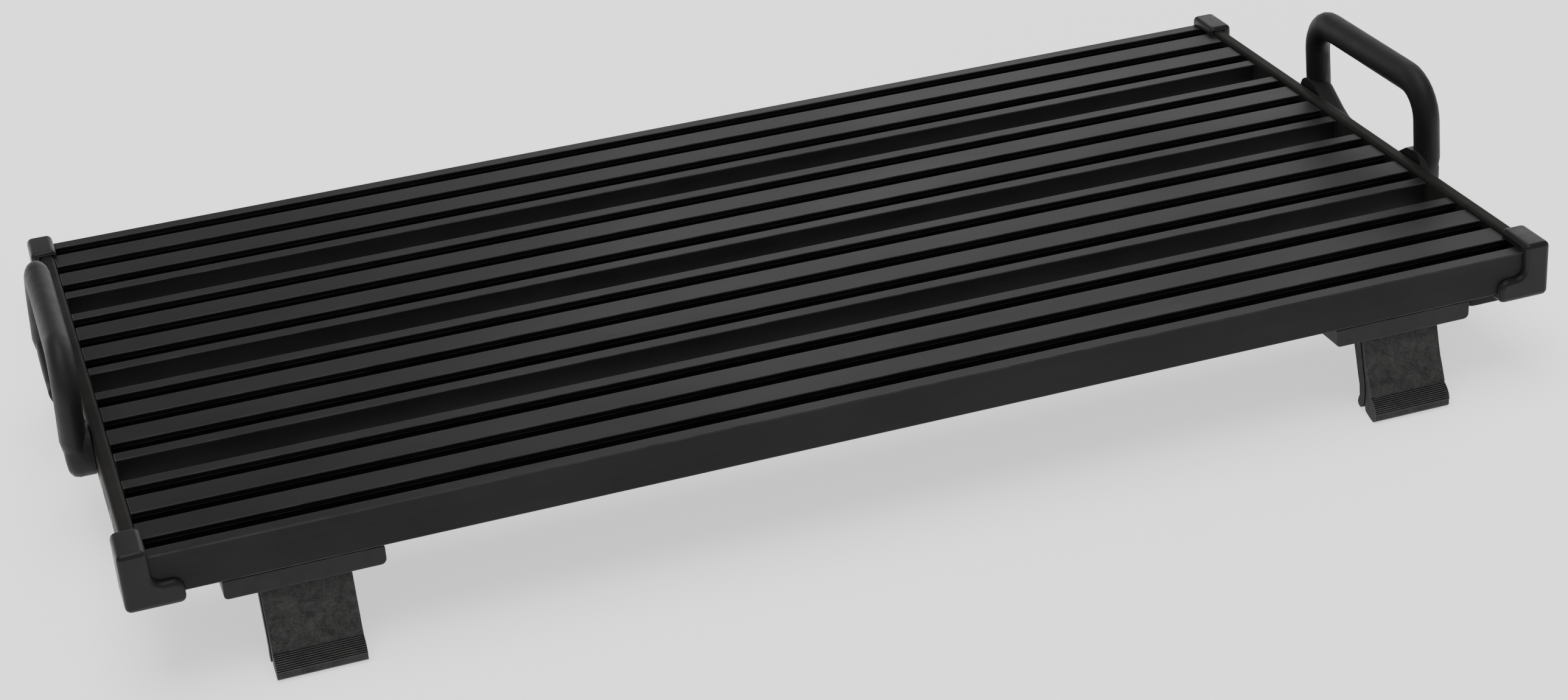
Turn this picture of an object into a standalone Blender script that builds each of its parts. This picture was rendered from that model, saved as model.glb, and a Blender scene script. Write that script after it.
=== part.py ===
"""Pedalboard: four aluminium deck profiles between two end rails, with moulded corner caps,
two carrying handles and two fold-out legs under the front profile.

Board frame: +X right along the length, +Y towards the back edge, +Z up out of the deck, with
z = 0 on the deck's top face. The whole board is then tilted to stand on its toes and back feet.
"""

import math

import bmesh
import bpy
import numpy as np
from mathutils import Matrix, Vector

MM = 0.001
GAP = 0.3 * MM

# Deck profiles: one extrusion, used four times.
PROFILE_COUNT = 4
PROFILE_PITCH = 76.6 * MM
PROFILE_DEPTH = 59.8 * MM
PROFILE_HEIGHT = 16.0 * MM
DECK_HALF_LENGTH = 272.3 * MM
EDGE_STRIP = 6.0 * MM
WIDE_STRIP = 12.2 * MM
GROOVE = 7.8 * MM
GROOVE_NECK = 2.2 * MM
GROOVE_ROOT = 2.6 * MM
GROOVE_FLOOR = 6.2 * MM
GROOVE_UNDERCUT = 2.0 * MM
WEB_BOTTOM = 8.0 * MM
WIDE_FLANGE = 20.8 * MM
NARROW_FLANGE = 8.2 * MM
FLANGE_TOP = 14.0 * MM
STRIP_CHAMFER = 0.25 * MM
PORT_INSET = 5.2 * MM
PORT_HEIGHT = 11.0 * MM
PORT_WALL = 8.4 * MM
BACK_EDGE = (PROFILE_COUNT - 1) * PROFILE_PITCH / 2 + PROFILE_DEPTH / 2

# End rails.
RAIL_THICKNESS = 5.8 * MM
RAIL_TOP = 1.7 * MM
RAIL_EDGE_RADIUS = 1.6 * MM
RAIL_OUTER = DECK_HALF_LENGTH + RAIL_THICKNESS

# Corner caps.
CAP_OUTER = 281.6 * MM
CAP_INNER = 270.9 * MM
CAP_FRONT = BACK_EDGE + 2.5 * MM
CAP_LENGTH = 19.5 * MM
CAP_TOP = 3.7 * MM
CAP_BOTTOM = -19.6 * MM
CAP_TOE = 260.1 * MM
CAP_TOE_TOP = -10.3 * MM
CAP_FLANGE_LENGTH = 8.8 * MM
CAP_CORNER = 2.2 * MM
CAP_BEVEL = 1.8 * MM
CAP_BEND = 3.6 * MM
CAP_TOE_BEND = 4.0 * MM

# Rubber feet.
FOOT_SIDE = 16.0 * MM
FOOT_BOTTOM = -24.0 * MM
FOOT_X = 260.5 * MM
FOOT_Y = 128.4 * MM
FOOT_CORNER = 2.5 * MM
FOOT_RECESS_RADIUS = 4.2 * MM
FOOT_RECESS_DEPTH = 3.6 * MM

# Handles: an oval bar that bends up out of the rail, over as an arch and back into the rail, with a
# block along the rail at each root. Root points are in the plane of Y and Z.
BAR_WIDTH = 10.2 * MM
BAR_DEPTH = 13.4 * MM
BAR_BEND = 15.0 * MM
BAR_ELBOW = 8.4 * MM
ELBOW_Z = 2.0 * MM
POST_Y = 47.3 * MM
POST_X = 284.6 * MM
ARCH_X = 283.1 * MM
ARCH_Z = 33.0 * MM
BAR_SIDES = 20
BEND_STEPS = 8
ELBOW_STEPS = 5
ROOT_DEPTH = 4.0 * MM
ROOT_OUTER = 288.7 * MM
ROOT_BOTTOM = -16.2 * MM
ROOT_END = 53.9 * MM
ROOT_END_BOTTOM = -13.8 * MM
ROOT_END_RADIUS = 7.0 * MM
ROOT_TOP = [(53.9, -2.0), (51.0, 5.6), (40.6, 4.3), (29.5, -2.8), (24.5, -5.2)]
ROOT_NOSE = (18.5 * MM, -10.9 * MM)
ROOT_NOSE_RADIUS = 5.3 * MM
ROOT_EDGE = 4.2 * MM
ROOT_ROUND = 9.5 * MM

# Fold-out legs. Outlines are in the plane of Y and Z, measured from the hinge axis.
LEG_X = 218.4 * MM
HINGE_Y = -136.5 * MM
HINGE_Z = -20.0 * MM
KNUCKLE_RADIUS = 3.4 * MM
PIN_RADIUS = 1.8 * MM
PIN_BORE = 1.88 * MM
LEG_HALF_WIDTH = 16.85 * MM
SHOE_SIDE_INSET = 0.4 * MM
TOE_CENTRE = (-11.0 * MM, -32.9 * MM)
TOE_RADIUS = 6.4 * MM
RIB_COUNT = 9
RIB_DEPTH = 0.5 * MM
RIB_FROM = math.radians(113)
RIB_TO = math.radians(179)
TOE_BOTTOM = [(-17.0, -35.0), (-16.3, -35.8), (-15.4, -36.2), (-14.6, -36.2), (-12.1, -35.4)]
SHOE_FRONT = [(-5.75, -4.4), (-7.8, -12.0), (-9.2, -16.6), (-10.9, -20.3), (-13.0, -25.6)]
SHOE_BACK = [(-9.3, -34.2), (-8.6, -32.6), (-8.8, -30.5), (-9.3, -26.5), (-8.7, -21.5), (-7.3, -16.0)]
SHOE_TOP = [(-6.6, -13.0), (-4.5, -4.8)]
PLATE_FRONT = [(-4.6, -2.4), (-5.35, -3.9), (-4.1, -4.35), (-6.2, -13.0), (-6.9, -16.0), (-8.3, -21.5)]
PLATE_END = [(-8.9, -26.5), (-8.4, -30.4), (-7.5, -33.0), (-5.9, -33.8), (-4.4, -33.3), (-3.7, -32.0)]
PLATE_HOLLOW = [(-4.1, -30.3), (-5.0, -28.6)]
PLATE_REAR = [(-4.6, -24.0), (-3.4, -20.6), (-1.6, -14.2), (0.3, -8.1), (1.8, -5.0), (2.6, -2.6)]

# Leg brackets.
BRACKET_HALF = 29.2 * MM
BRACKET_BACK = -120.4 * MM
BRACKET_TOP = -PROFILE_HEIGHT - GAP
BRACKET_BOTTOM = -23.7 * MM
BRACKET_WALL = 2.0 * MM
BRACKET_BEVEL = 0.8 * MM
BRACKET_SCREW_X = 23.2 * MM
BRACKET_SCREW_Y = -129.0 * MM
PIN_INNER_END = 26.0 * MM

# Screws: head radius, shank radius, length.
RAIL_SCREW = (3.0 * MM, 1.5 * MM, 17.0 * MM)
HANDLE_SCREW = (3.0 * MM, 1.5 * MM, 12.0 * MM)
BRACKET_SCREW = (3.0 * MM, 1.5 * MM, 10.6 * MM)
FOOT_SCREW = (3.2 * MM, 1.5 * MM, 10.0 * MM)
CHEESE_HEAD = 2.0 * MM
HEX_RADIUS = 1.25 * MM
HEX_DEPTH = 1.1 * MM
SCREW_SIDES = 8
HOLE_SIDES = 8
HANDLE_SCREW_Y = (30.0 * MM, 47.0 * MM)
HANDLE_SCREW_Z = -8.0 * MM


ACROSS_X = (math.pi / 2, 0, math.pi / 2)
ACROSS_Y = (math.pi / 2, 0, 0)


def clear_scene():
    for obj in list(bpy.data.objects):
        bpy.data.objects.remove(obj, do_unlink=True)


def new_collection(name):
    collection = bpy.data.collections.new(name)
    bpy.context.scene.collection.children.link(collection)
    return collection


def new_empty(name, location, parent=None):
    empty = bpy.data.objects.new(name, None)
    empty.empty_display_size = 0.02
    empty.location = location
    empty.parent = parent
    PARTS.objects.link(empty)
    return empty


def paint(obj, colour, roughness, metallic=0.0):
    """Gives the object its own Principled material."""
    material = bpy.data.materials.new(obj.name)
    material.use_nodes = True
    shader = material.node_tree.nodes["Principled BSDF"]
    shader.inputs["Base Color"].default_value = (*colour, 1.0)
    shader.inputs["Roughness"].default_value = roughness
    shader.inputs["Metallic"].default_value = metallic
    obj.data.materials.clear()
    obj.data.materials.append(material)


def anodised(obj):
    paint(obj, (0.030, 0.030, 0.031), 0.45, 0.6)


def moulded_plastic(obj):
    paint(obj, (0.028, 0.028, 0.028), 0.5)


def rubber(obj):
    paint(obj, (0.022, 0.022, 0.022), 0.75)


def black_steel(obj):
    paint(obj, (0.045, 0.045, 0.047), 0.35, 0.9)


def mesh_object(name, mesh, collection, parent, location=(0, 0, 0), rotation=(0, 0, 0)):
    obj = bpy.data.objects.new(name, mesh)
    obj.parent = parent
    obj.location = location
    obj.rotation_euler = rotation
    collection.objects.link(obj)
    return obj


def bake(obj):
    """Returns the object's evaluated mesh with its loose caps welded, and removes the object."""
    bpy.context.view_layer.update()
    graph = bpy.context.evaluated_depsgraph_get()
    mesh = bpy.data.meshes.new_from_object(obj.evaluated_get(graph))
    form = bmesh.new()
    form.from_mesh(mesh)
    bmesh.ops.remove_doubles(form, verts=form.verts, dist=1e-7)
    bmesh.ops.recalc_face_normals(form, faces=form.faces)
    form.to_mesh(mesh)
    form.free()
    bpy.data.objects.remove(obj, do_unlink=True)
    return mesh


def outline_mesh(loop, depth):
    """A flat outline in local X and Y, extruded to depth along Z, with one face on each side."""
    curve = bpy.data.curves.new("outline", "CURVE")
    curve.dimensions = "2D"
    curve.fill_mode = "BOTH"
    curve.extrude = depth / 2
    spline = curve.splines.new("POLY")
    spline.points.add(len(loop) - 1)
    for point, (x, y) in zip(spline.points, loop):
        point.co = (x, y, 0, 1)
    spline.use_cyclic_u = True
    obj = bpy.data.objects.new("outline", curve)
    PARTS.objects.link(obj)
    mesh = bake(obj)
    form = bmesh.new()
    form.from_mesh(mesh)
    bmesh.ops.dissolve_limit(form, angle_limit=0.001, verts=form.verts, edges=form.edges)
    form.to_mesh(mesh)
    form.free()
    return mesh


def arc(centre, radius, start, end, steps):
    """Points on an arc, with both ends, from angle start to angle end."""
    angles = np.linspace(start, end, steps + 1)
    return [(centre[0] + radius * math.cos(a), centre[1] + radius * math.sin(a)) for a in angles]


def box_mesh(low, high):
    form = bmesh.new()
    bmesh.ops.create_cube(form, size=1)
    size = Vector(high) - Vector(low)
    middle = (Vector(high) + Vector(low)) / 2
    place = Matrix.Translation(middle) @ Matrix.Diagonal((*size, 1))
    bmesh.ops.transform(form, matrix=place, verts=form.verts)
    mesh = bpy.data.meshes.new("box")
    form.to_mesh(mesh)
    form.free()
    return mesh


def rod_mesh(radius, low, high, sides=HOLE_SIDES, low_radius=None):
    """A cylinder or cone along local Z from low to high."""
    form = bmesh.new()
    foot = radius if low_radius is None else low_radius
    place = Matrix.Translation((0, 0, (low + high) / 2))
    bmesh.ops.create_cone(
        form, cap_ends=True, segments=sides, radius1=foot, radius2=radius, depth=high - low, matrix=place
    )
    mesh = bpy.data.meshes.new("rod")
    form.to_mesh(mesh)
    form.free()
    return mesh


def cutter(name, mesh, parent, location=(0, 0, 0), rotation=(0, 0, 0)):
    obj = mesh_object(name, mesh, CUTTERS, parent, location, rotation)
    obj.hide_render = True
    obj.display_type = "WIRE"
    return obj


def combine(obj, other, operation="DIFFERENCE"):
    modifier = obj.modifiers.new(other.name, "BOOLEAN")
    modifier.operation = operation
    modifier.object = other
    modifier.solver = "EXACT"


def bevel(obj, width, segments=2, angle=40):
    modifier = obj.modifiers.new("edges", "BEVEL")
    modifier.width = width
    modifier.segments = segments
    modifier.limit_method = "ANGLE"
    modifier.angle_limit = math.radians(angle)


def turned_mesh(profile, sides):
    """A solid of revolution about local Z from a profile of (radius, z) points, top to bottom."""
    mesh = bpy.data.meshes.new("turned")
    points = [(radius, 0, z) for radius, z in profile]
    mesh.from_pydata(points, [(i, i + 1) for i in range(len(points) - 1)], [])
    obj = bpy.data.objects.new("turned", mesh)
    PARTS.objects.link(obj)
    modifier = obj.modifiers.new("turn", "SCREW")
    modifier.steps = sides
    modifier.render_steps = sides
    modifier.use_merge_vertices = True
    modifier.merge_threshold = 1e-6
    return bake(obj)


def screw_mesh(size, flat_head):
    """A hex socket screw along local Z, its head's top at z = 0 and its shank below."""
    head, shank, length = size
    if flat_head:
        side = [(head, 0), (head, -0.3 * MM), (shank, -0.3 * MM - (head - shank))]
    else:
        side = [(head * 0.86, 0), (head, -0.6 * MM), (head, -CHEESE_HEAD), (shank, -CHEESE_HEAD)]
    profile = [(0, 0), *side, (shank, -length), (0, -length)]
    body = bpy.data.objects.new("screw", turned_mesh(profile, SCREW_SIDES))
    PARTS.objects.link(body)
    socket = cutter("socket_cutter", rod_mesh(HEX_RADIUS, -HEX_DEPTH, 1 * MM, 6), None)
    combine(body, socket)
    mesh = bake(body)
    bpy.data.objects.remove(socket, do_unlink=True)
    return mesh


def screw_hole(name, parent, size, location, rotation, countersunk=True):
    """The cutter for a screw whose head is flush at location: a clearance bore and its countersink."""
    head, shank, length = size
    bore = shank + GAP
    profile = [(0, 1 * MM), (head + GAP, 1 * MM), (head + GAP, -0.3 * MM - GAP)]
    if countersunk:
        profile += [(bore, -0.3 * MM - GAP - (head - shank))]
    profile += [(bore, -length - GAP), (0, -length - GAP)]
    return cutter(name, turned_mesh(profile, HOLE_SIDES), parent, location, rotation)


# Deck profiles


def profile_outline():
    """The extrusion's section: x inward from its outer edge, y up. Three undercut grooves on top,
    a channel below, and a solid corner at each side for the end screws."""
    c = STRIP_CHAMFER
    section = [(0, -PROFILE_HEIGHT), (0, -c), (c, 0)]
    x = EDGE_STRIP
    for _ in range(3):
        section += [(x - c, 0), (x, -c), (x, -GROOVE_NECK)]
        section += [(x - GROOVE_UNDERCUT, -GROOVE_ROOT), (x - GROOVE_UNDERCUT, -GROOVE_FLOOR)]
        x += GROOVE
        section += [(x + GROOVE_UNDERCUT, -GROOVE_FLOOR), (x + GROOVE_UNDERCUT, -GROOVE_ROOT)]
        section += [(x, -GROOVE_NECK), (x, -c), (x + c, 0)]
        x += WIDE_STRIP
    section += [(PROFILE_DEPTH - c, 0), (PROFILE_DEPTH, -c), (PROFILE_DEPTH, -PROFILE_HEIGHT)]
    inner = PROFILE_DEPTH - NARROW_FLANGE
    section += [(inner, -PROFILE_HEIGHT), (inner, -FLANGE_TOP)]
    section += [(PROFILE_DEPTH - PORT_WALL, -FLANGE_TOP), (PROFILE_DEPTH - PORT_WALL, -WEB_BOTTOM)]
    section += [(PORT_WALL, -WEB_BOTTOM), (PORT_WALL, -FLANGE_TOP)]
    section += [(WIDE_FLANGE, -FLANGE_TOP), (WIDE_FLANGE, -PROFILE_HEIGHT)]
    return section


def profile_edges():
    """Outer edge y of each profile, front to back, and the way its section runs: +1 for +Y, -1 for -Y."""
    edges = []
    for i in range(PROFILE_COUNT):
        middle = (i - (PROFILE_COUNT - 1) / 2) * PROFILE_PITCH
        inward = 1 if middle < 0 else -1
        edges.append((middle - inward * PROFILE_DEPTH / 2, inward))
    return edges


def rail_screw_places():
    """Y of the end-screw ports that take a screw: all but the innermost two, which the handle keeps clear."""
    places = []
    for edge, inward in profile_edges():
        places += [edge + inward * PORT_INSET, edge + inward * (PROFILE_DEPTH - PORT_INSET)]
    return sorted(y for y in places if abs(y) > POST_Y)


def handle_screw_places():
    return sorted(side * y for y in HANDLE_SCREW_Y for side in (-1, 1))


def make_profiles(board):
    ports = (PORT_INSET, PROFILE_DEPTH - PORT_INSET)
    length = 2 * (DECK_HALF_LENGTH - GAP)
    mesh = outline_mesh(profile_outline(), length)
    profiles = []
    for name, (edge, inward) in zip(("front", "middle_front", "middle_back", "back"), profile_edges()):
        turn = ACROSS_X if inward > 0 else (math.pi / 2, 0, -math.pi / 2)
        obj = mesh_object(f"deck_profile_{name}", mesh.copy(), PARTS, board, (0, edge, 0), turn)
        for x in ports:
            bore = rod_mesh(RAIL_SCREW[1] + GAP, -DECK_HALF_LENGTH - 1 * MM, DECK_HALF_LENGTH + 1 * MM)
            at = (0, edge + inward * x, -PORT_HEIGHT)
            combine(obj, cutter(f"{obj.name}_port", bore, board, at, (0, math.pi / 2, 0)))
        anodised(obj)
        profiles.append(obj)
    return profiles


# End rails


def rail_outline():
    """The rail's section: x outward from its inner face, y up, with rounded top edges."""
    r = RAIL_EDGE_RADIUS
    base = 0.4 * MM
    low = -PROFILE_HEIGHT
    section = [(base, low), (RAIL_THICKNESS - base, low), (RAIL_THICKNESS, low + base)]
    section += arc((RAIL_THICKNESS - r, RAIL_TOP - r), r, 0, math.pi / 2, 4)
    section += arc((r, RAIL_TOP - r), r, math.pi / 2, math.pi, 4)
    section += [(0, low + base)]
    return section


def make_rail(side, label, board):
    """The rail and the cutters of its handle's screws, which the handle shares."""
    name = f"end_rail_{label}"
    holder = new_empty(f"{name}_place", (0, 0, 0), board)
    holder.rotation_euler = (0, 0, 0 if side > 0 else math.pi)
    mesh = outline_mesh(rail_outline(), 2 * BACK_EDGE)
    rail = mesh_object(name, mesh, PARTS, holder, (DECK_HALF_LENGTH, 0, 0), ACROSS_Y)
    for i, y in enumerate(rail_screw_places()):
        at = (RAIL_OUTER, y, -PORT_HEIGHT)
        combine(rail, screw_hole(f"{name}_screw_hole_{i + 1}", holder, RAIL_SCREW, at, (0, math.pi / 2, 0)))
    handle_holes = []
    for i, y in enumerate(handle_screw_places()):
        at = (DECK_HALF_LENGTH, y, HANDLE_SCREW_Z)
        hole = screw_hole(f"{name}_handle_hole_{i + 1}", holder, HANDLE_SCREW, at, (0, -math.pi / 2, 0))
        combine(rail, hole)
        handle_holes.append(hole)
    anodised(rail)
    return rail, holder, handle_holes


def make_rail_screws(side, label, mesh, holder):
    for i, y in enumerate(rail_screw_places()):
        at = (RAIL_OUTER, y, -PORT_HEIGHT)
        name = f"rail_screw_{label}_{i + 1}"
        black_steel(mesh_object(name, mesh.copy(), PARTS, holder, at, (0, math.pi / 2, 0)))


def make_handle_screws(side, label, mesh, holder):
    for i, y in enumerate(handle_screw_places()):
        at = (DECK_HALF_LENGTH, y, HANDLE_SCREW_Z)
        name = f"handle_screw_{label}_{i + 1}"
        black_steel(mesh_object(name, mesh.copy(), PARTS, holder, at, (0, -math.pi / 2, 0)))


# Corner caps


def cap_outline():
    """The cap's front view: x towards the board's end, y up. Its inner edge comes down beside the rail and
    sweeps out in an S to the toe under the front profile."""
    r = CAP_CORNER
    bend = CAP_BEND
    toe = CAP_TOE_BEND
    quarter = math.pi / 2
    section = arc((CAP_OUTER - r, CAP_BOTTOM + r), r, -quarter, 0, 3)
    section += arc((CAP_OUTER - r, CAP_TOP - r), r, 0, quarter, 3)
    section += arc((CAP_INNER + r, CAP_TOP - r), r, quarter, 2 * quarter, 3)
    section += arc((CAP_INNER - bend, CAP_TOE_TOP + bend), bend, 0, -quarter, 5)
    section += arc((CAP_TOE + toe, CAP_TOE_TOP - toe), toe, quarter, 2 * quarter, 5)
    section += arc((CAP_TOE + r, CAP_BOTTOM + r), r, 2 * quarter, 3 * quarter, 3)
    return section


def make_cap(name, side, end, board):
    """side is +1 at the board's right, end is +1 at its back."""
    section = [(side * x, y) for x, y in cap_outline()]
    middle = end * (CAP_FRONT - CAP_LENGTH / 2)
    cap = mesh_object(name, outline_mesh(section, CAP_LENGTH), PARTS, board, (0, middle, 0), ACROSS_Y)
    bevel(cap, CAP_BEVEL, 3)
    past = 5 * MM
    inside = BACK_EDGE + GAP
    under = -PROFILE_HEIGHT - GAP
    spaces = {
        "rail_space": ((DECK_HALF_LENGTH - GAP, 0, under), (RAIL_OUTER + GAP, inside, RAIL_TOP + GAP)),
        "deck_space": ((CAP_TOE - past, 0, under), (DECK_HALF_LENGTH + 1 * MM, inside, GAP)),
        "foot_space": (
            (CAP_TOE - past, 0, CAP_BOTTOM - past),
            (CAP_INNER, CAP_FRONT - CAP_FLANGE_LENGTH, under + 0.2 * MM),
        ),
    }
    for label, (low, high) in spaces.items():
        combine(cap, cutter(f"{name}_{label}", corner_box(low, high, side, end), board))
    moulded_plastic(cap)
    return cap


def corner_box(low, high, side, end):
    """A box given for the right back corner, moved to the corner that side and end name."""
    x = sorted((side * low[0], side * high[0]))
    y = sorted((end * low[1], end * high[1]))
    return box_mesh((x[0], y[0], low[2]), (x[1], y[1], high[2]))


# Rubber feet


def make_foot(name, side, end, board):
    half = FOOT_SIDE / 2 - FOOT_CORNER
    corners = []
    for i, (x, y) in enumerate(((half, half), (-half, half), (-half, -half), (half, -half))):
        corners += arc((x, y), FOOT_CORNER, i * math.pi / 2, (i + 1) * math.pi / 2, 3)
    top = -PROFILE_HEIGHT - GAP
    at = (side * FOOT_X, end * FOOT_Y, (top + FOOT_BOTTOM) / 2)
    foot = mesh_object(name, outline_mesh(corners, top - FOOT_BOTTOM), PARTS, board, at)
    bevel(foot, 0.8 * MM)
    recess = rod_mesh(FOOT_RECESS_RADIUS, -1 * MM, FOOT_RECESS_DEPTH, 16)
    bore = rod_mesh(FOOT_SCREW[1] + GAP, -1 * MM, top - FOOT_BOTTOM + 3 * MM)
    foot_floor = (side * FOOT_X, end * FOOT_Y, FOOT_BOTTOM)
    combine(foot, cutter(f"{name}_recess", recess, board, foot_floor))
    through = cutter(f"{name}_bore", bore, board, foot_floor)
    combine(foot, through)
    rubber(foot)
    return through


def make_foot_screw(name, side, end, mesh, board):
    at = (side * FOOT_X, end * FOOT_Y, FOOT_BOTTOM + FOOT_RECESS_DEPTH - GAP - CHEESE_HEAD)
    black_steel(mesh_object(name, mesh.copy(), PARTS, board, at, (math.pi, 0, 0)))


# Handles


def bar_stations():
    """Centre, thin axis and deep axis along the bar: out of the rail, up, over and down again."""
    across = Vector((1, 0, 0))
    outward = Vector((0, -1, 0))
    elbow = Vector((POST_X - BAR_ELBOW, -POST_Y, ELBOW_Z))
    start = Vector((RAIL_OUTER - ROOT_DEPTH, -POST_Y, ELBOW_Z - BAR_ELBOW))
    half = [(start, Vector((0, 0, -1)), outward)]
    for angle in np.linspace(-math.pi / 2, 0, ELBOW_STEPS + 1):
        radial = Vector((math.cos(angle), 0, math.sin(angle)))
        half.append((elbow + BAR_ELBOW * radial, radial, outward))
    lean = (ARCH_X - POST_X) / (ARCH_Z - ELBOW_Z)
    for angle in np.linspace(math.pi, math.pi / 2, BEND_STEPS + 1):
        deep = Vector((0, math.cos(angle), math.sin(angle)))
        z = ARCH_Z - BAR_BEND * (1 - deep.z)
        centre = Vector((POST_X + lean * (z - ELBOW_Z), BAR_BEND * (1 + deep.y) - POST_Y, z))
        half.append((centre, across, deep))
    flip = Vector((1, -1, 1))
    return half + [(centre * flip, thin, deep * flip) for centre, thin, deep in reversed(half)]


def handle_bar():
    """The bent bar: oval rings joined from station to station and closed at both ends."""
    form = bmesh.new()
    turns = np.arange(BAR_SIDES) * 2 * math.pi / BAR_SIDES
    rings = []
    for centre, thin, deep in bar_stations():
        wide = thin * BAR_WIDTH / 2
        high = deep * BAR_DEPTH / 2
        rings.append([form.verts.new(centre + wide * math.cos(a) + high * math.sin(a)) for a in turns])
    for ring, following in zip(rings, rings[1:]):
        for i in range(BAR_SIDES):
            j = (i + 1) % BAR_SIDES
            form.faces.new((ring[i], ring[j], following[j], following[i]))
    form.faces.new(rings[0])
    form.faces.new(rings[-1])
    bmesh.ops.recalc_face_normals(form, faces=form.faces)
    mesh = bpy.data.meshes.new("handle_bar")
    form.to_mesh(mesh)
    form.free()
    return mesh


def root_outline(end):
    """The root block seen along the rail's normal: a shoulder round the post that slopes to a round nose."""
    r = ROOT_END_RADIUS
    points = [(y * MM, z * MM) for y, z in ROOT_TOP]
    points += arc(ROOT_NOSE, ROOT_NOSE_RADIUS, math.radians(70), math.radians(270), 7)
    points += arc((ROOT_END - r, ROOT_END_BOTTOM + r), r, -math.pi / 2, 0, 4)
    return [(end * y, z) for y, z in points]


def root_section():
    """The root seen from its end: its lower outer edge is a quarter round."""
    r = ROOT_ROUND
    inner = RAIL_OUTER - 3 * ROOT_DEPTH
    top = ROOT_NOSE_RADIUS * 4
    section = [(inner, ROOT_BOTTOM)]
    section += arc((ROOT_OUTER - r, ROOT_BOTTOM + r), r, -math.pi / 2, 0, 6)
    return section + [(ROOT_OUTER, top), (inner, top)]


def make_handle(side, label, holder, screw_holes):
    handle = mesh_object(f"handle_{label}", handle_bar(), PARTS, holder)
    inner = RAIL_OUTER - 2 * ROOT_DEPTH
    for end, word in ((-1, "near"), (1, "far")):
        block = outline_mesh(root_outline(end), ROOT_OUTER - inner)
        at = ((ROOT_OUTER + inner) / 2, 0, 0)
        root = cutter(f"handle_{label}_{word}_root", block, holder, at, ACROSS_X)
        bevel(root, ROOT_EDGE, 3)
        section = outline_mesh(root_section(), 4 * ROOT_END)
        limit = cutter(f"handle_{label}_{word}_limit", section, holder, (0, 0, 0), ACROSS_Y)
        combine(root, limit, "INTERSECT")
        combine(handle, root, "UNION")
    low = (inner - ROOT_DEPTH, -2 * POST_Y, -PROFILE_HEIGHT - ROOT_DEPTH)
    high = (RAIL_OUTER + GAP, 2 * POST_Y, 3 * ROOT_DEPTH)
    combine(handle, cutter(f"handle_{label}_rail_face", box_mesh(low, high), holder))
    for hole in screw_holes:
        combine(handle, hole)
    rubber(handle)
    return handle


# Leg brackets


def bracket_outline():
    """The bracket's front view, x from its middle towards the board's right, y up."""
    big = 2.2 * MM
    small = 1.5 * MM
    top = 0.5 * MM
    quarter = math.pi / 2
    section = arc((BRACKET_HALF - big, BRACKET_BOTTOM + big), big, -quarter, 0, 4)
    section += [(BRACKET_HALF, BRACKET_TOP - top), (BRACKET_HALF - top, BRACKET_TOP)]
    section += [(-BRACKET_HALF + top, BRACKET_TOP), (-BRACKET_HALF, BRACKET_TOP - top)]
    section += arc((-BRACKET_HALF + small, BRACKET_BOTTOM + small), small, 2 * quarter, 3 * quarter, 3)
    return section


def make_bracket(side, label, board):
    """The bracket and the cutters of its screws, which the front profile shares."""
    name = f"leg_bracket_{label}"
    depth = BACK_EDGE + BRACKET_BACK
    middle = (-BACK_EDGE + BRACKET_BACK) / 2
    form = outline_mesh(bracket_outline(), depth)
    bracket = mesh_object(name, form, PARTS, board, (side * LEG_X, middle, 0), ACROSS_Y)
    bevel(bracket, BRACKET_BEVEL)
    low = (-LEG_HALF_WIDTH - GAP, -BACK_EDGE + BRACKET_WALL, BRACKET_BOTTOM - 1 * MM)
    high = (LEG_HALF_WIDTH + GAP, BRACKET_BACK + 1 * MM, BRACKET_TOP + 1 * MM)
    combine(bracket, cutter(f"{name}_slot", box_mesh(low, high), board, (side * LEG_X, 0, 0)))
    low = (-PIN_INNER_END - GAP, HINGE_Y - PIN_BORE, HINGE_Z)
    high = (PIN_INNER_END + GAP, HINGE_Y + PIN_BORE, BRACKET_TOP + 1 * MM)
    combine(bracket, cutter(f"{name}_pin_way", box_mesh(low, high), board, (side * LEG_X, 0, 0)))
    seat = rod_mesh(PIN_BORE, -PIN_INNER_END - GAP, PIN_INNER_END + GAP, 16)
    at = (side * LEG_X, HINGE_Y, HINGE_Z)
    combine(bracket, cutter(f"{name}_pin_seat", seat, board, at, (0, math.pi / 2, 0)))
    holes = []
    for i, x in enumerate((-BRACKET_SCREW_X, BRACKET_SCREW_X)):
        at = (side * LEG_X + x, BRACKET_SCREW_Y, BRACKET_BOTTOM)
        hole = screw_hole(f"{name}_screw_hole_{i + 1}", board, BRACKET_SCREW, at, (math.pi, 0, 0))
        combine(bracket, hole)
        holes.append(hole)
    moulded_plastic(bracket)
    return holes


def make_bracket_screws(side, label, mesh, board):
    for i, x in enumerate((-BRACKET_SCREW_X, BRACKET_SCREW_X)):
        at = (side * LEG_X + x, BRACKET_SCREW_Y, BRACKET_BOTTOM)
        name = f"bracket_screw_{label}_{i + 1}"
        black_steel(mesh_object(name, mesh.copy(), PARTS, board, at, (math.pi, 0, 0)))


# Fold-out legs


def plate_outline():
    """The leg plate from the side: a knuckle round the pin, a leaning blade and a rolled end."""
    section = arc((0, 0), KNUCKLE_RADIUS, math.radians(-15), math.radians(190), 12)
    return section + [(y * MM, z * MM) for y, z in PLATE_FRONT + PLATE_END + PLATE_HOLLOW + PLATE_REAR]


def toe_ribs():
    """The ribbed stretch of the toe, from the front pad down to where it rounds under."""
    points = []
    step = (RIB_TO - RIB_FROM) / RIB_COUNT
    for i in range(RIB_COUNT):
        angle = RIB_FROM + i * step
        for part, sink in ((0, RIB_DEPTH), (0.22, 0), (0.7, 0), (0.92, RIB_DEPTH)):
            a = angle + part * step
            r = TOE_RADIUS - sink
            points.append((TOE_CENTRE[0] + r * math.cos(a), TOE_CENTRE[1] + r * math.sin(a)))
    return points


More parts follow.
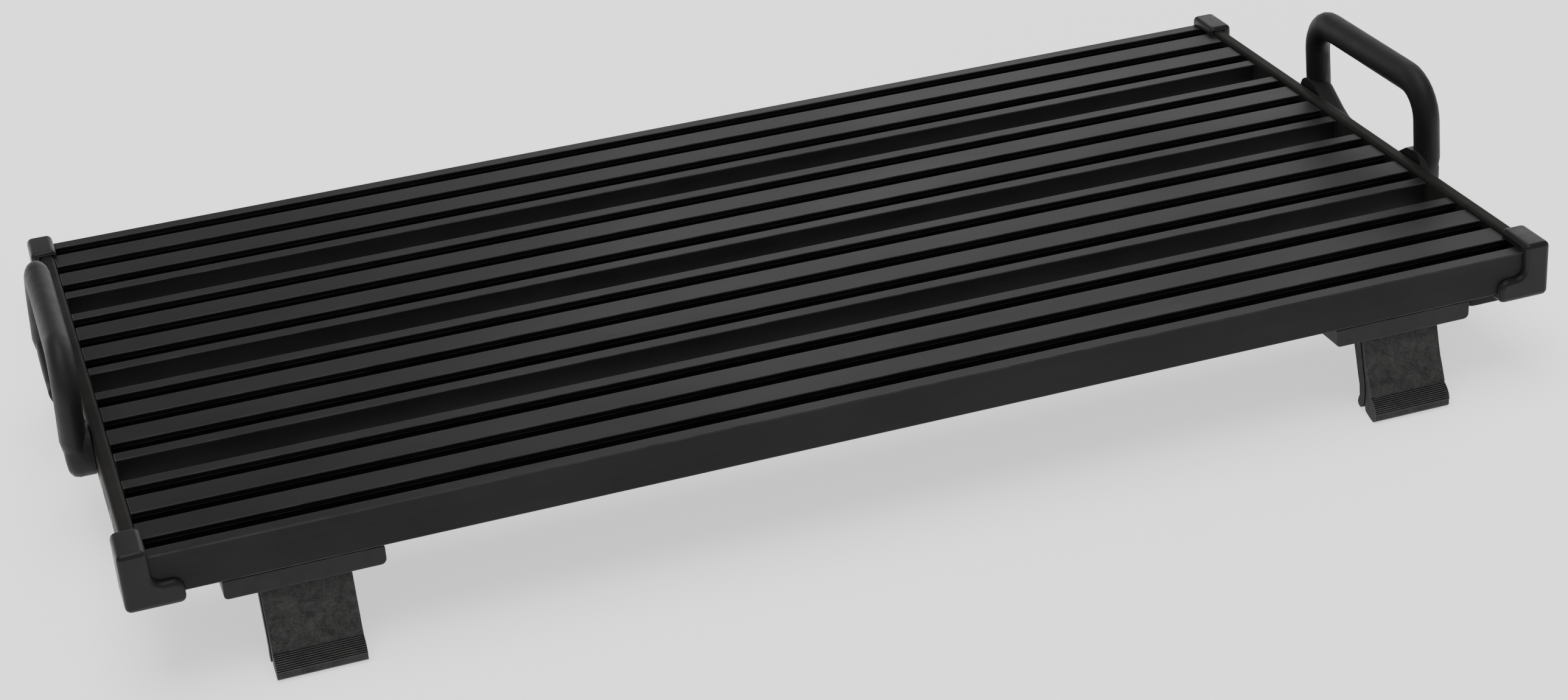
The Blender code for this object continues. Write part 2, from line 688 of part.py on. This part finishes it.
def shoe_outline():
    """The rubber shoe from the side: a pad down the plate's front that widens into a ribbed toe."""
    front = [(y * MM, z * MM) for y, z in SHOE_FRONT]
    return front + toe_ribs() + [(y * MM, z * MM) for y, z in TOE_BOTTOM + SHOE_BACK + SHOE_TOP]


def make_leg(side, label, board):
    hinge = new_empty(f"leg_{label}_hinge", (side * LEG_X, HINGE_Y, HINGE_Z), board)
    plate = outline_mesh(plate_outline(), 2 * LEG_HALF_WIDTH)
    leg = mesh_object(f"leg_{label}", plate, PARTS, hinge, (0, 0, 0), ACROSS_X)
    bore = rod_mesh(PIN_BORE, -LEG_HALF_WIDTH - 1 * MM, LEG_HALF_WIDTH + 1 * MM, 16)
    combine(leg, cutter(f"leg_{label}_bore", bore, hinge, (0, 0, 0), (0, math.pi / 2, 0)))
    moulded_plastic(leg)
    shoe_mesh = outline_mesh(shoe_outline(), 2 * (LEG_HALF_WIDTH - SHOE_SIDE_INSET))
    rubber(mesh_object(f"leg_shoe_{label}", shoe_mesh, PARTS, hinge, (0, 0, 0), ACROSS_X))
    return hinge


def make_pin(side, label, board):
    pin = rod_mesh(PIN_RADIUS, -PIN_INNER_END, PIN_INNER_END, 16)
    at = (side * LEG_X, HINGE_Y, HINGE_Z)
    black_steel(mesh_object(f"hinge_pin_{label}", pin, PARTS, board, at, (0, math.pi / 2, 0)))


def standing_tilt():
    """The tilt at which the toes and the back feet's back edges share the floor."""
    back = FOOT_Y + FOOT_SIDE / 2 - 0.8 * MM
    slopes = [math.atan2(FOOT_BOTTOM - HINGE_Z - z, back - HINGE_Y - y) for y, z in shoe_outline()]
    return max(slopes)


def build():
    tilt = standing_tilt()
    board = new_empty("board", (0, 0, 0))
    board.rotation_euler = (-tilt, 0, 0)
    profiles = make_profiles(board)
    sides = ((-1, "left"), (1, "right"))
    rail_screw = screw_mesh(RAIL_SCREW, True)
    handle_screw = screw_mesh(HANDLE_SCREW, True)
    bracket_screw = screw_mesh(BRACKET_SCREW, True)
    foot_screw = screw_mesh(FOOT_SCREW, False)
    for side, label in sides:
        rail, holder, holes = make_rail(side, label, board)
        make_rail_screws(side, label, rail_screw, holder)
        make_handle(side, label, holder, holes)
        make_handle_screws(side, label, handle_screw, holder)
        for hole in make_bracket(side, label, board):
            combine(profiles[0], hole)
        make_bracket_screws(side, label, bracket_screw, board)
        make_pin(side, label, board)
        make_leg(side, label, board)
        for end, word in ((-1, "front"), (1, "back")):
            make_cap(f"corner_cap_{word}_{label}", side, end, board)
    for side, end, place in ((1, -1, "front_right"), (-1, 1, "back_left"), (1, 1, "back_right")):
        profile = profiles[0] if end < 0 else profiles[-1]
        combine(profile, make_foot(f"rubber_foot_{place}", side, end, board))
        make_foot_screw(f"foot_screw_{place}", side, end, foot_screw, board)
    settle(board)


def settle(board):
    """Moves the board so that its bounding box stands on z = 0 and is centred on the origin."""
    bpy.context.view_layer.update()
    graph = bpy.context.evaluated_depsgraph_get()
    corners = []
    for obj in PARTS.objects:
        if obj.type == "MESH":
            placed = obj.evaluated_get(graph)
            corners += [placed.matrix_world @ vertex.co for vertex in placed.data.vertices]
    points = np.array(corners)
    low = points.min(axis=0)
    high = points.max(axis=0)
    board.location = (-(low[0] + high[0]) / 2, -(low[1] + high[1]) / 2, -low[2])


clear_scene()
PARTS = new_collection("pedalboard")
CUTTERS = new_collection("cutters")
CUTTERS.hide_render = True
build()
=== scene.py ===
"""Looks of the pedalboard: its materials, floor, light and camera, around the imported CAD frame."""

import math

import bpy
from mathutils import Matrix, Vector

# Meshes.
WELD_DISTANCE = 0.00001
SMOOTH_BELOW = math.radians(32)

# Materials: lengths are in metres, and noise scales are cycles per metre.
IOR = 1.5
BEVEL_SAMPLES = 6
EDGE_STARTS = 0.01
EDGE_FULL = 0.16
OCCLUSION_SAMPLES = 8
OPEN_FACE = 0.75
DEEP_HOLLOW = 0.3

LINES_ACROSS = 2600
LINE_DEPTH = 0.00004
METAL_GRAIN = 5200
METAL_GRAIN_DEPTH = 0.00003
METAL_EDGE = 0.0007
GROOVE_REACH = 0.008

PLASTIC_GRAIN_DEPTH = 0.00006
FLOW_DEPTH = 0.0003
PLASTIC_EDGE = 0.0008

RUBBER_SPECULAR = 0.15
CLOUD_DEPTH = 0.0003
DUST_DEPTH = 0.00005
RUBBER_EDGE = 0.0004
RIB_REACH = 0.0009
CREST = 0.6

STEEL_TONE = (0.03, 0.03, 0.032)
STEEL_EDGE = 0.0003
TURNING_DEPTH = 0.00003

# Camera, floor and light.
LENS = 66.83
SENSOR = 36
CAMERA_PLACE = (-0.31444, -0.97633, 0.65136)
CAMERA_TURN = (0.99931, 0.02951, -0.33840)
FLOOR_HALF = 6
FLOOR_TONE = (0.94, 0.94, 0.94, 1)
FLOOR_ROUGHNESS = 0.9
FLOOR_GLOW = 0.9
WORLD_STRENGTH = 0.4
WHITE = (1, 1, 1, 1)

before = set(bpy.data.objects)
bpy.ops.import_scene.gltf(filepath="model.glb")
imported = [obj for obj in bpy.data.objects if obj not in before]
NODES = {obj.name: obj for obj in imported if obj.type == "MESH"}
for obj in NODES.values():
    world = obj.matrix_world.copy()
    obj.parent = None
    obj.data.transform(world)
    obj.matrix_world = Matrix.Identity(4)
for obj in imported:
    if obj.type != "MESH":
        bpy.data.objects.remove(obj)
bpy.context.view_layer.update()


def link(tree, out, into):
    tree.links.new(out, into)


class Finish:
    """One material under construction: its tree, its shader and the object-space position in metres."""

    def __init__(self, name, metallic=0.0, specular=0.5):
        self.material = bpy.data.materials.new(name)
        self.material.use_nodes = True
        self.tree = self.material.node_tree
        self.shader = self.tree.nodes["Principled BSDF"]
        self.shader.inputs["Metallic"].default_value = metallic
        self.shader.inputs["IOR"].default_value = IOR
        self.shader.inputs["Specular IOR Level"].default_value = specular
        self.place = self.tree.nodes.new("ShaderNodeTexCoord").outputs["Object"]

    def stretch(self, scale):
        """The position with each axis scaled, for marks that are longer one way."""
        mapping = self.tree.nodes.new("ShaderNodeMapping")
        mapping.inputs["Scale"].default_value = scale
        link(self.tree, self.place, mapping.inputs["Vector"])
        return mapping.outputs["Vector"]

    def noise(self, scale, detail=4.0, roughness=0.55, where=None, distortion=0.0):
        made = self.tree.nodes.new("ShaderNodeTexNoise")
        made.inputs["Scale"].default_value = scale
        made.inputs["Detail"].default_value = detail
        made.inputs["Roughness"].default_value = roughness
        made.inputs["Distortion"].default_value = distortion
        link(self.tree, where or self.place, made.inputs["Vector"])
        return made.outputs["Fac"]

    def ramp(self, value, low, high):
        """A colour ramp between two (position, colour) stops."""
        made = self.tree.nodes.new("ShaderNodeValToRGB")
        for element, (at, colour) in zip(made.color_ramp.elements, (low, high)):
            element.position = at
            element.color = (*colour, 1)
        link(self.tree, value, made.inputs["Fac"])
        return made.outputs["Color"]

    def between(self, value, low, high, out_low, out_high):
        """The value mapped from low..high to out_low..out_high, and held at the ends."""
        made = self.tree.nodes.new("ShaderNodeMapRange")
        made.inputs["From Min"].default_value = low
        made.inputs["From Max"].default_value = high
        made.inputs["To Min"].default_value = out_low
        made.inputs["To Max"].default_value = out_high
        link(self.tree, value, made.inputs["Value"])
        return made.outputs["Result"]

    def math(self, operation, a, b):
        made = self.tree.nodes.new("ShaderNodeMath")
        made.operation = operation
        for socket, value in zip(made.inputs, (a, b)):
            if isinstance(value, (int, float)):
                socket.default_value = value
            else:
                link(self.tree, value, socket)
        return made.outputs["Value"]

    def mix(self, factor, colour, over):
        """The first colour, given over to the second tone as the factor rises to 1."""
        made = self.tree.nodes.new("ShaderNodeMix")
        made.data_type = "RGBA"
        made.blend_type = "MIX"
        made.inputs["B"].default_value = (*over, 1)
        link(self.tree, factor, made.inputs["Factor"])
        link(self.tree, colour, made.inputs["A"])
        return made.outputs["Result"]

    def edges(self, radius):
        """1 on edges and 0 on flats: where a rounded normal leaves the face's own."""
        bevel = self.tree.nodes.new("ShaderNodeBevel")
        bevel.samples = BEVEL_SAMPLES
        bevel.inputs["Radius"].default_value = radius
        geometry = self.tree.nodes.new("ShaderNodeNewGeometry")
        dot = self.tree.nodes.new("ShaderNodeVectorMath")
        dot.operation = "DOT_PRODUCT"
        link(self.tree, bevel.outputs["Normal"], dot.inputs[0])
        link(self.tree, geometry.outputs["Normal"], dot.inputs[1])
        return self.between(dot.outputs["Value"], 1 - EDGE_STARTS, 1 - EDGE_FULL, 0.0, 1.0)

    def hollows(self, distance):
        """1 deep in grooves and inside corners, 0 on open faces."""
        shade = self.tree.nodes.new("ShaderNodeAmbientOcclusion")
        shade.samples = OCCLUSION_SAMPLES
        shade.only_local = True
        shade.inputs["Distance"].default_value = distance
        return self.between(shade.outputs["AO"], DEEP_HOLLOW, OPEN_FACE, 1.0, 0.0)

    def bump(self, height, strength, distance, before=None):
        made = self.tree.nodes.new("ShaderNodeBump")
        made.inputs["Strength"].default_value = strength
        made.inputs["Distance"].default_value = distance
        link(self.tree, height, made.inputs["Height"])
        if before:
            link(self.tree, before, made.inputs["Normal"])
        return made.outputs["Normal"]

    def finish(self, colour, roughness, normal):
        link(self.tree, colour, self.shader.inputs["Base Color"])
        link(self.tree, roughness, self.shader.inputs["Roughness"])
        link(self.tree, normal, self.shader.inputs["Normal"])
        return self.material


def shades(tone, factor):
    return tuple(channel * factor for channel in tone)


def anodised(name, tone, lines_along, specular=0.12, rough=(0.34, 0.5)):
    """Black anodised aluminium: extrusion lines along X, a mottled bloom, grooves painted lighter as painted
    fill light, and edges painted paler in patches as painted highlights.
    """
    f = Finish(name, specular=specular)
    lines = f.noise(1.0, 3, 0.6, f.stretch((lines_along, LINES_ACROSS, LINES_ACROSS)))
    bloom = f.noise(22, 4, 0.55, f.stretch((1, 2.4, 2.4)), 0.5)
    blot = f.noise(9, 2, 0.4)
    grain = f.noise(METAL_GRAIN, 2, 0.5)
    base = f.ramp(bloom, (0.3, shades(tone, 0.7)), (0.7, shades(tone, 1.35)))
    streaked = f.mix(f.between(lines, 0.35, 0.75, 0.0, 0.35), base, shades(tone, 1.9))
    # Grooves and inside corners painted lighter: painted fill light where the lamps reach too little.
    dust_and_groove_light = f.mix(f.hollows(GROOVE_REACH), streaked, shades(tone, 3.6))
    # Edges painted paler in patches: painted edge highlights.
    edge_highlight = f.math("MULTIPLY", f.edges(METAL_EDGE), f.between(f.noise(90), 0.35, 0.6, 0.35, 1.0))
    edge_highlight_and_wear = f.mix(edge_highlight, dust_and_groove_light, shades(tone, 10.0))
    roughness = f.between(f.math("ADD", lines, blot), 0.6, 1.4, *rough)
    normal = f.bump(lines, 0.12, LINE_DEPTH)
    normal = f.bump(grain, 0.16, METAL_GRAIN_DEPTH, normal)
    return f.finish(edge_highlight_and_wear, roughness, normal)


def moulded(name, tone, rough=(0.42, 0.6), grain_size=1700, grain=0.22, edge_highlight=4.0, specular=0.2):
    """Satin moulded plastic: a spark-eroded grain, faint flow marks and edges painted paler in patches as
    painted highlights.
    """
    f = Finish(name, specular=specular)
    flow = f.noise(32, 4, 0.6, f.stretch((1, 1.6, 0.7)), 0.6)
    pores = f.noise(grain_size, 3, 0.6)
    base = f.ramp(flow, (0.3, shades(tone, 0.75)), (0.72, shades(tone, 1.3)))
    # Edges painted paler in patches: painted edge highlights.
    edge_highlight_mask = f.math("MULTIPLY", f.edges(PLASTIC_EDGE), f.between(f.noise(140), 0.3, 0.65, 0.15, 0.8))
    edge_highlit = f.mix(edge_highlight_mask, base, shades(tone, edge_highlight))
    roughness = f.between(f.math("ADD", flow, f.noise(240, 2)), 0.6, 1.4, *rough)
    normal = f.bump(pores, grain, PLASTIC_GRAIN_DEPTH)
    normal = f.bump(flow, 0.1, FLOW_DEPTH, normal)
    return f.finish(edge_highlit, roughness, normal)


def rubbery(name, tone, mottle):
    """Matte rubber: cloudy mottling, a bloom of dust, shaded hollows between pale crests and an uneven skin.
    """
    f = Finish(name, specular=RUBBER_SPECULAR)
    cloud = f.noise(260, 6, 0.7, None, 0.6)
    dust = f.noise(1700, 2, 0.5)
    base = f.ramp(cloud, (0.34, shades(tone, 1 - mottle)), (0.66, shades(tone, 1 + mottle)))
    dust_and_groove_light = f.mix(f.between(dust, 0.5, 0.75, 0.0, 0.5), base, shades(tone, 2.4))
    hollow = f.hollows(RIB_REACH)
    shaded = f.mix(hollow, dust_and_groove_light, shades(tone, 0.3))
    in_the_open = f.math("SUBTRACT", CREST, f.math("MULTIPLY", hollow, CREST))
    crests = f.mix(f.math("MULTIPLY", f.edges(RUBBER_EDGE), in_the_open), shaded, shades(tone, 4.0))
    roughness = f.between(cloud, 0.3, 0.7, 0.55, 0.8)
    normal = f.bump(cloud, 0.35, CLOUD_DEPTH)
    normal = f.bump(dust, 0.2, DUST_DEPTH, normal)
    return f.finish(crests, roughness, normal)


def black_steel(name):
    """Black oxide steel with turning marks and a trace of bright scuffing on its edges."""
    f = Finish(name, metallic=0.85)
    turned = f.noise(3000, 2, 0.5, f.stretch((0.4, 1, 1)))
    base = f.ramp(turned, (0.3, STEEL_TONE), (0.7, shades(STEEL_TONE, 1.6)))
    edge_highlight_and_wear = f.mix(f.math("MULTIPLY", f.edges(STEEL_EDGE), 0.5), base, shades(STEEL_TONE, 6))
    roughness = f.between(turned, 0.3, 0.7, 0.28, 0.44)
    return f.finish(edge_highlight_and_wear, roughness, f.bump(turned, 0.15, TURNING_DEPTH))


PROFILE = anodised("profile_anodised", (0.0092, 0.0092, 0.0093), 6)
RAIL = anodised("rail_anodised", (0.0145, 0.0140, 0.0132), 7, 0.04, (0.46, 0.6))
CAP = moulded("cap_plastic", (0.0125, 0.0125, 0.0125), (0.34, 0.5), edge_highlight=8.0, specular=0.16)
HANDLE = moulded("handle_plastic", (0.0125, 0.0124, 0.0123), (0.5, 0.64), 2600, 0.14, 1.7, 0.22)
BRACKET = moulded("bracket_plastic", (0.0120, 0.0121, 0.0124), edge_highlight=8.0)
LEG = moulded("leg_plastic", (0.0090, 0.0090, 0.0090), (0.5, 0.66), 900, 0.4)
SHOE = rubbery("shoe_rubber", (0.0310, 0.0308, 0.0302), 0.5)
FOOT = rubbery("foot_rubber", (0.0150, 0.0150, 0.0150), 0.25)
STEEL = black_steel("screw_steel")

# The first name start that fits a node decides its material.
LOOKS = (
    ("deck_profile", PROFILE),
    ("end_rail", RAIL),
    ("corner_cap", CAP),
    ("handle_screw", STEEL),
    ("handle", HANDLE),
    ("leg_bracket", BRACKET),
    ("leg_shoe", SHOE),
    ("leg", LEG),
    ("rubber_foot", FOOT),
    ("foot_screw", STEEL),
    ("rail_screw", STEEL),
    ("bracket_screw", STEEL),
    ("hinge_pin", STEEL),
)


def smoothing(angle):
    """A node group that shades faces smooth across edges flatter than the angle."""
    tree = bpy.data.node_groups.new("smooth_by_angle", "GeometryNodeTree")
    tree.interface.new_socket("Geometry", in_out="INPUT", socket_type="NodeSocketGeometry")
    tree.interface.new_socket("Geometry", in_out="OUTPUT", socket_type="NodeSocketGeometry")
    start = tree.nodes.new("NodeGroupInput")
    end = tree.nodes.new("NodeGroupOutput")
    faces = tree.nodes.new("GeometryNodeSetShadeSmooth")
    faces.inputs["Shade Smooth"].default_value = True
    sharp = tree.nodes.new("GeometryNodeSetShadeSmooth")
    sharp.domain = "EDGE"
    sharp.inputs["Shade Smooth"].default_value = False
    angles = tree.nodes.new("GeometryNodeInputMeshEdgeAngle")
    compare = tree.nodes.new("FunctionNodeCompare")
    compare.operation = "GREATER_THAN"
    compare.inputs["B"].default_value = angle
    link(tree, start.outputs[0], faces.inputs["Geometry"])
    link(tree, faces.outputs[0], sharp.inputs["Geometry"])
    link(tree, angles.outputs["Unsigned Angle"], compare.inputs["A"])
    link(tree, compare.outputs["Result"], sharp.inputs["Selection"])
    link(tree, sharp.outputs[0], end.inputs[0])
    return tree


SMOOTH = smoothing(SMOOTH_BELOW)


def dress(obj, material):
    obj.data.materials.clear()
    obj.data.materials.append(material)
    weld = obj.modifiers.new("weld", "WELD")
    weld.merge_threshold = WELD_DISTANCE
    smooth = obj.modifiers.new("smooth", "NODES")
    smooth.node_group = SMOOTH
    even = obj.modifiers.new("even", "WEIGHTED_NORMAL")
    even.keep_sharp = True


def dress_all():
    for name, obj in NODES.items():
        for start, material in LOOKS:
            if name.startswith(start):
                dress(obj, material)
                break


def make_camera():
    data = bpy.data.cameras.new("camera")
    data.lens = LENS
    data.sensor_width = SENSOR
    camera = bpy.data.objects.new("camera", data)
    camera.location = CAMERA_PLACE
    camera.rotation_euler = CAMERA_TURN
    bpy.context.scene.collection.objects.link(camera)
    bpy.context.scene.camera = camera


def make_floor():
    mesh = bpy.data.meshes.new("floor")
    corners = [(-1, -1), (1, -1), (1, 1), (-1, 1)]
    mesh.from_pydata([(x * FLOOR_HALF, y * FLOOR_HALF, 0) for x, y in corners], [], [(0, 1, 2, 3)])
    floor = bpy.data.objects.new("floor", mesh)
    material = bpy.data.materials.new("floor")
    material.use_nodes = True
    shader = material.node_tree.nodes["Principled BSDF"]
    shader.inputs["Base Color"].default_value = FLOOR_TONE
    shader.inputs["Roughness"].default_value = FLOOR_ROUGHNESS
    shader.inputs["Emission Color"].default_value = WHITE
    shader.inputs["Emission Strength"].default_value = FLOOR_GLOW
    mesh.materials.append(material)
    bpy.context.scene.collection.objects.link(floor)


def make_light(name, place, aim, size, power):
    """A soft box at the place, turned to face the aim."""
    data = bpy.data.lights.new(name, "AREA")
    data.shape = "RECTANGLE"
    data.size, data.size_y = size
    data.energy = power
    light = bpy.data.objects.new(name, data)
    light.location = place
    light.rotation_euler = (Vector(aim) - Vector(place)).to_track_quat("-Z", "Y").to_euler()
    bpy.context.scene.collection.objects.link(light)


def make_world():
    world = bpy.data.worlds.new("studio")
    world.use_nodes = True
    background = world.node_tree.nodes["Background"]
    background.inputs["Color"].default_value = WHITE
    background.inputs["Strength"].default_value = WORLD_STRENGTH
    bpy.context.scene.world = world


dress_all()
make_camera()
make_floor()
make_world()
make_light("key", (-0.3, 0.1, 2.4), (0, 0, 0), (2.4, 1.8), 50)
make_light("back", (1.5, 2.0, 0.95), (0.1, 0, 0.05), (2.6, 1.0), 16)
